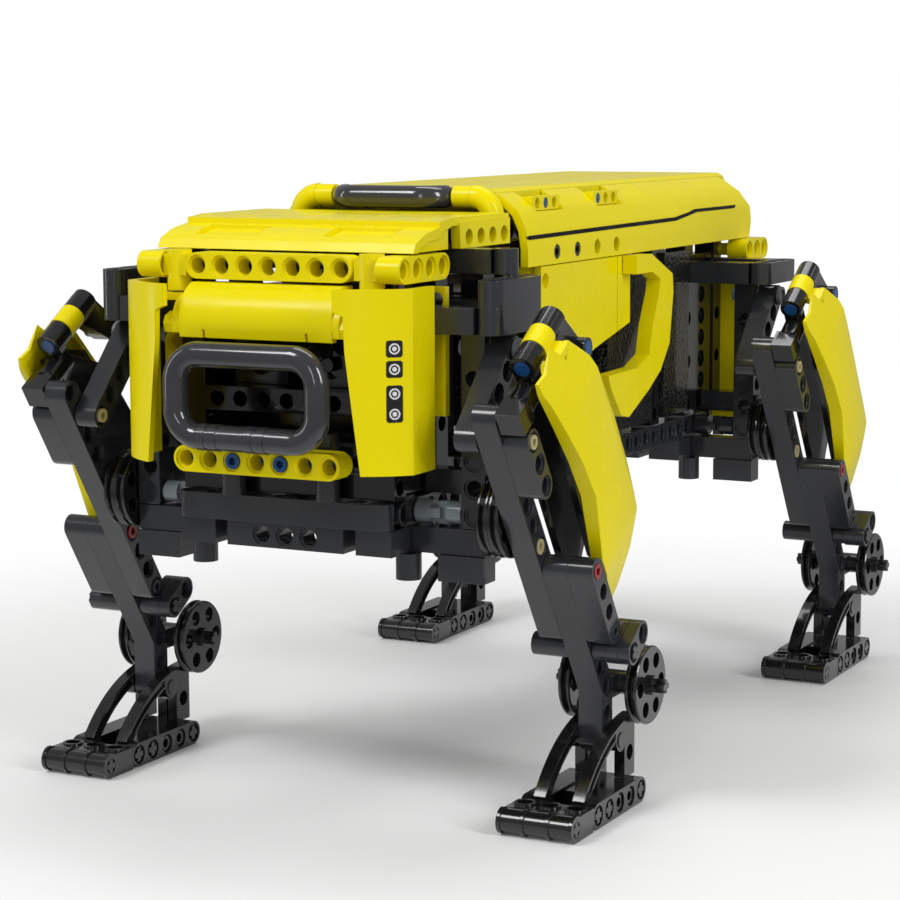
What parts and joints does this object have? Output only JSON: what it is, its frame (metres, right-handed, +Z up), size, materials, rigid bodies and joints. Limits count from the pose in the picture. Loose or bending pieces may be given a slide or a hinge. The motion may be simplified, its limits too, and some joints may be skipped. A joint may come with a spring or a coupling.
{
  "type": "quadruped robot dog",
  "caption": "Four-legged robot dog of pinned beams: boxy body with roof, face beams and cranked legs with jointed feet.",
  "frame": {"origin": "on the floor, in the middle of the bounding box", "axes": "face looks toward -Y, +X is the dog's left side, +Z is up"},
  "size_m": [0.1956, 0.3204, 0.1849],
  "materials": {
    "yellow_plastic": "glossy moulded ABS, lemon yellow",
    "dark_grey_plastic": "glossy moulded ABS, dark bluish grey",
    "black_plastic": "glossy moulded ABS, black",
    "light_grey_plastic": "moulded ABS, light bluish grey",
    "slate_plastic": "satin moulded plastic, slate grey",
    "blue_plastic": "moulded pin plastic, blue",
    "tan_plastic": "moulded pin plastic, tan"
  },
  "bodies": {
    "chassis": {"lower_frame": "dark_grey_plastic", "side_rails": "dark_grey_plastic", "hip_columns": "dark_grey_plastic", "hip_bars": "dark_grey_plastic", "rocker_axles": "light_grey_plastic", "shoulder_beams": "dark_grey_plastic", "inner_frame": "black_plastic", "motor": "black_plastic", "battery_box": "black_plastic", "front_beam": "yellow_plastic", "bumper": "yellow_plastic", "mouth_ring": "slate_plastic", "visor": "yellow_plastic", "cheeks": "yellow_plastic", "hood": "yellow_plastic", "handle": "slate_plastic", "handle_elbows": "yellow_plastic", "roof_top": "yellow_plastic", "roof_sides": "yellow_plastic", "side_panels": "yellow_plastic", "fairings": "yellow_plastic", "rear_beams": "yellow_plastic", "body_pins": "blue_plastic"},
    "drive": {"worm_shaft": "light_grey_plastic"},
    "crank_front": {"drive_axle_front": "light_grey_plastic", "cranks_front": "black_plastic"},
    "crank_rear": {"drive_axle_rear": "dark_grey_plastic", "cranks_rear": "black_plastic"},
    "rocker_body_front_left": {"rocker_front_left": "dark_grey_plastic"},
    "leg_front_left": {"thigh_front_left": "dark_grey_plastic", "shank_front_left": "dark_grey_plastic", "shield_mount_front_left": "black_plastic", "shield_front_left": "yellow_plastic", "leg_pins_front_left": "tan_plastic"},
    "foot_body_front_left": {"foot_front_left": "black_plastic"},
    "wheel_body_front_left": {"ankle_wheels_front_left": "black_plastic"},
    "rocker_body_front_right": {"rocker_front_right": "dark_grey_plastic"},
    "leg_front_right": {"thigh_front_right": "dark_grey_plastic", "shank_front_right": "dark_grey_plastic", "shield_mount_front_right": "black_plastic", "shield_front_right": "yellow_plastic", "leg_pins_front_right": "tan_plastic"},
    "foot_body_front_right": {"foot_front_right": "black_plastic"},
    "wheel_body_front_right": {"ankle_wheels_front_right": "black_plastic"},
    "rocker_body_rear_left": {"rocker_rear_left": "dark_grey_plastic"},
    "leg_rear_left": {"thigh_rear_left": "dark_grey_plastic", "shank_rear_left": "dark_grey_plastic", "shield_mount_rear_left": "black_plastic", "shield_rear_left": "yellow_plastic", "leg_pins_rear_left": "tan_plastic"},
    "foot_body_rear_left": {"foot_rear_left": "black_plastic"},
    "wheel_body_rear_left": {"ankle_wheels_rear_left": "black_plastic"},
    "rocker_body_rear_right": {"rocker_rear_right": "dark_grey_plastic"},
    "leg_rear_right": {"thigh_rear_right": "dark_grey_plastic", "shank_rear_right": "dark_grey_plastic", "shield_mount_rear_right": "black_plastic", "shield_rear_right": "yellow_plastic", "leg_pins_rear_right": "tan_plastic"},
    "foot_body_rear_right": {"foot_rear_right": "black_plastic"},
    "wheel_body_rear_right": {"ankle_wheels_rear_right": "black_plastic"}
  },
  "joints": [
    {"name": "worm_turn", "type": "hinge", "parent": "chassis", "child": "drive", "pos_m": [0, -0.11845, 0.10432], "axis": [0, 1, 0], "range_deg": [-240, 240]},
    {"name": "crank_front_turn", "type": "hinge", "parent": "chassis", "child": "crank_front", "pos_m": [0, -0.11845, 0.0912], "axis": [1, 0, 0], "range_deg": [-15.5, 15.5]},
    {"name": "crank_rear_turn", "type": "hinge", "parent": "chassis", "child": "crank_rear", "pos_m": [0, 0.10555, 0.0912], "axis": [1, 0, 0], "range_deg": [-15.5, 15.5]},
    {"name": "rocker_front_left_swing", "type": "hinge", "parent": "chassis", "child": "rocker_body_front_left", "pos_m": [0.06416, -0.11845, 0.14], "axis": [1, 0, 0], "range_deg": [-2.5, 2.5]},
    {"name": "leg_front_left_swing", "type": "hinge", "parent": "crank_front", "child": "leg_front_left", "pos_m": [0.07208, -0.11845, 0.0832], "axis": [1, 0, 0], "range_deg": [-13.5, 13.5]},
    {"name": "ankle_front_left_tilt", "type": "hinge", "parent": "leg_front_left", "child": "foot_body_front_left", "pos_m": [0.08, -0.08779, 0.02034], "axis": [1, 0, 0], "range_deg": [-12, 12]},
    {"name": "ankle_wheel_front_left_spin", "type": "hinge", "parent": "leg_front_left", "child": "wheel_body_front_left", "pos_m": [0.08, -0.07579, 0.03522], "axis": [1, 0, 0], "continuous": true},
    {"name": "rocker_front_right_swing", "type": "hinge", "parent": "chassis", "child": "rocker_body_front_right", "pos_m": [-0.06416, -0.11845, 0.14], "axis": [1, 0, 0], "range_deg": [-2.5, 2.5]},
    {"name": "leg_front_right_swing", "type": "hinge", "parent": "crank_front", "child": "leg_front_right", "pos_m": [-0.07208, -0.11845, 0.0832], "axis": [1, 0, 0], "range_deg": [-13.5, 13.5]},
    {"name": "ankle_front_right_tilt", "type": "hinge", "parent": "leg_front_right", "child": "foot_body_front_right", "pos_m": [-0.08, -0.08779, 0.02034], "axis": [1, 0, 0], "range_deg": [-12, 12]},
    {"name": "ankle_wheel_front_right_spin", "type": "hinge", "parent": "leg_front_right", "child": "wheel_body_front_right", "pos_m": [-0.08, -0.07579, 0.03522], "axis": [1, 0, 0], "continuous": true},
    {"name": "rocker_rear_left_swing", "type": "hinge", "parent": "chassis", "child": "rocker_body_rear_left", "pos_m": [0.06416, 0.10555, 0.14], "axis": [1, 0, 0], "range_deg": [-2.5, 2.5]},
    {"name": "leg_rear_left_swing", "type": "hinge", "parent": "crank_rear", "child": "leg_rear_left", "pos_m": [0.07208, 0.10555, 0.0832], "axis": [1, 0, 0], "range_deg": [-13.5, 13.5]},
    {"name": "ankle_rear_left_tilt", "type": "hinge", "parent": "leg_rear_left", "child": "foot_body_rear_left", "pos_m": [0.08, 0.13621, 0.02034], "axis": [1, 0, 0], "range_deg": [-12, 12]},
    {"name": "ankle_wheel_rear_left_spin", "type": "hinge", "parent": "leg_rear_left", "child": "wheel_body_rear_left", "pos_m": [0.08, 0.14821, 0.03522], "axis": [1, 0, 0], "continuous": true},
    {"name": "rocker_rear_right_swing", "type": "hinge", "parent": "chassis", "child": "rocker_body_rear_right", "pos_m": [-0.06416, 0.10555, 0.14], "axis": [1, 0, 0], "range_deg": [-2.5, 2.5]},
    {"name": "leg_rear_right_swing", "type": "hinge", "parent": "crank_rear", "child": "leg_rear_right", "pos_m": [-0.07208, 0.10555, 0.0832], "axis": [1, 0, 0], "range_deg": [-13.5, 13.5]},
    {"name": "ankle_rear_right_tilt", "type": "hinge", "parent": "leg_rear_right", "child": "foot_body_rear_right", "pos_m": [-0.08, 0.13621, 0.02034], "axis": [1, 0, 0], "range_deg": [-12, 12]},
    {"name": "ankle_wheel_rear_right_spin", "type": "hinge", "parent": "leg_rear_right", "child": "wheel_body_rear_right", "pos_m": [-0.08, 0.14821, 0.03522], "axis": [1, 0, 0], "continuous": true}
  ],
  "couplings": [
    {"joint": "crank_front_turn", "follows": "worm_turn", "ratio": 0.0625},
    {"joint": "crank_rear_turn", "follows": "worm_turn", "ratio": 0.0625},
    {"joint": "rocker_front_left_swing", "follows": "worm_turn", "ratio": 0.0087422},
    {"joint": "leg_front_left_swing", "follows": "worm_turn", "ratio": -0.053758},
    {"joint": "rocker_front_right_swing", "follows": "worm_turn", "ratio": 0.0087422},
    {"joint": "leg_front_right_swing", "follows": "worm_turn", "ratio": -0.053758},
    {"joint": "rocker_rear_left_swing", "follows": "worm_turn", "ratio": 0.0087422},
    {"joint": "leg_rear_left_swing", "follows": "worm_turn", "ratio": -0.053758},
    {"joint": "rocker_rear_right_swing", "follows": "worm_turn", "ratio": 0.0087422},
    {"joint": "leg_rear_right_swing", "follows": "worm_turn", "ratio": -0.053758}
  ]
}
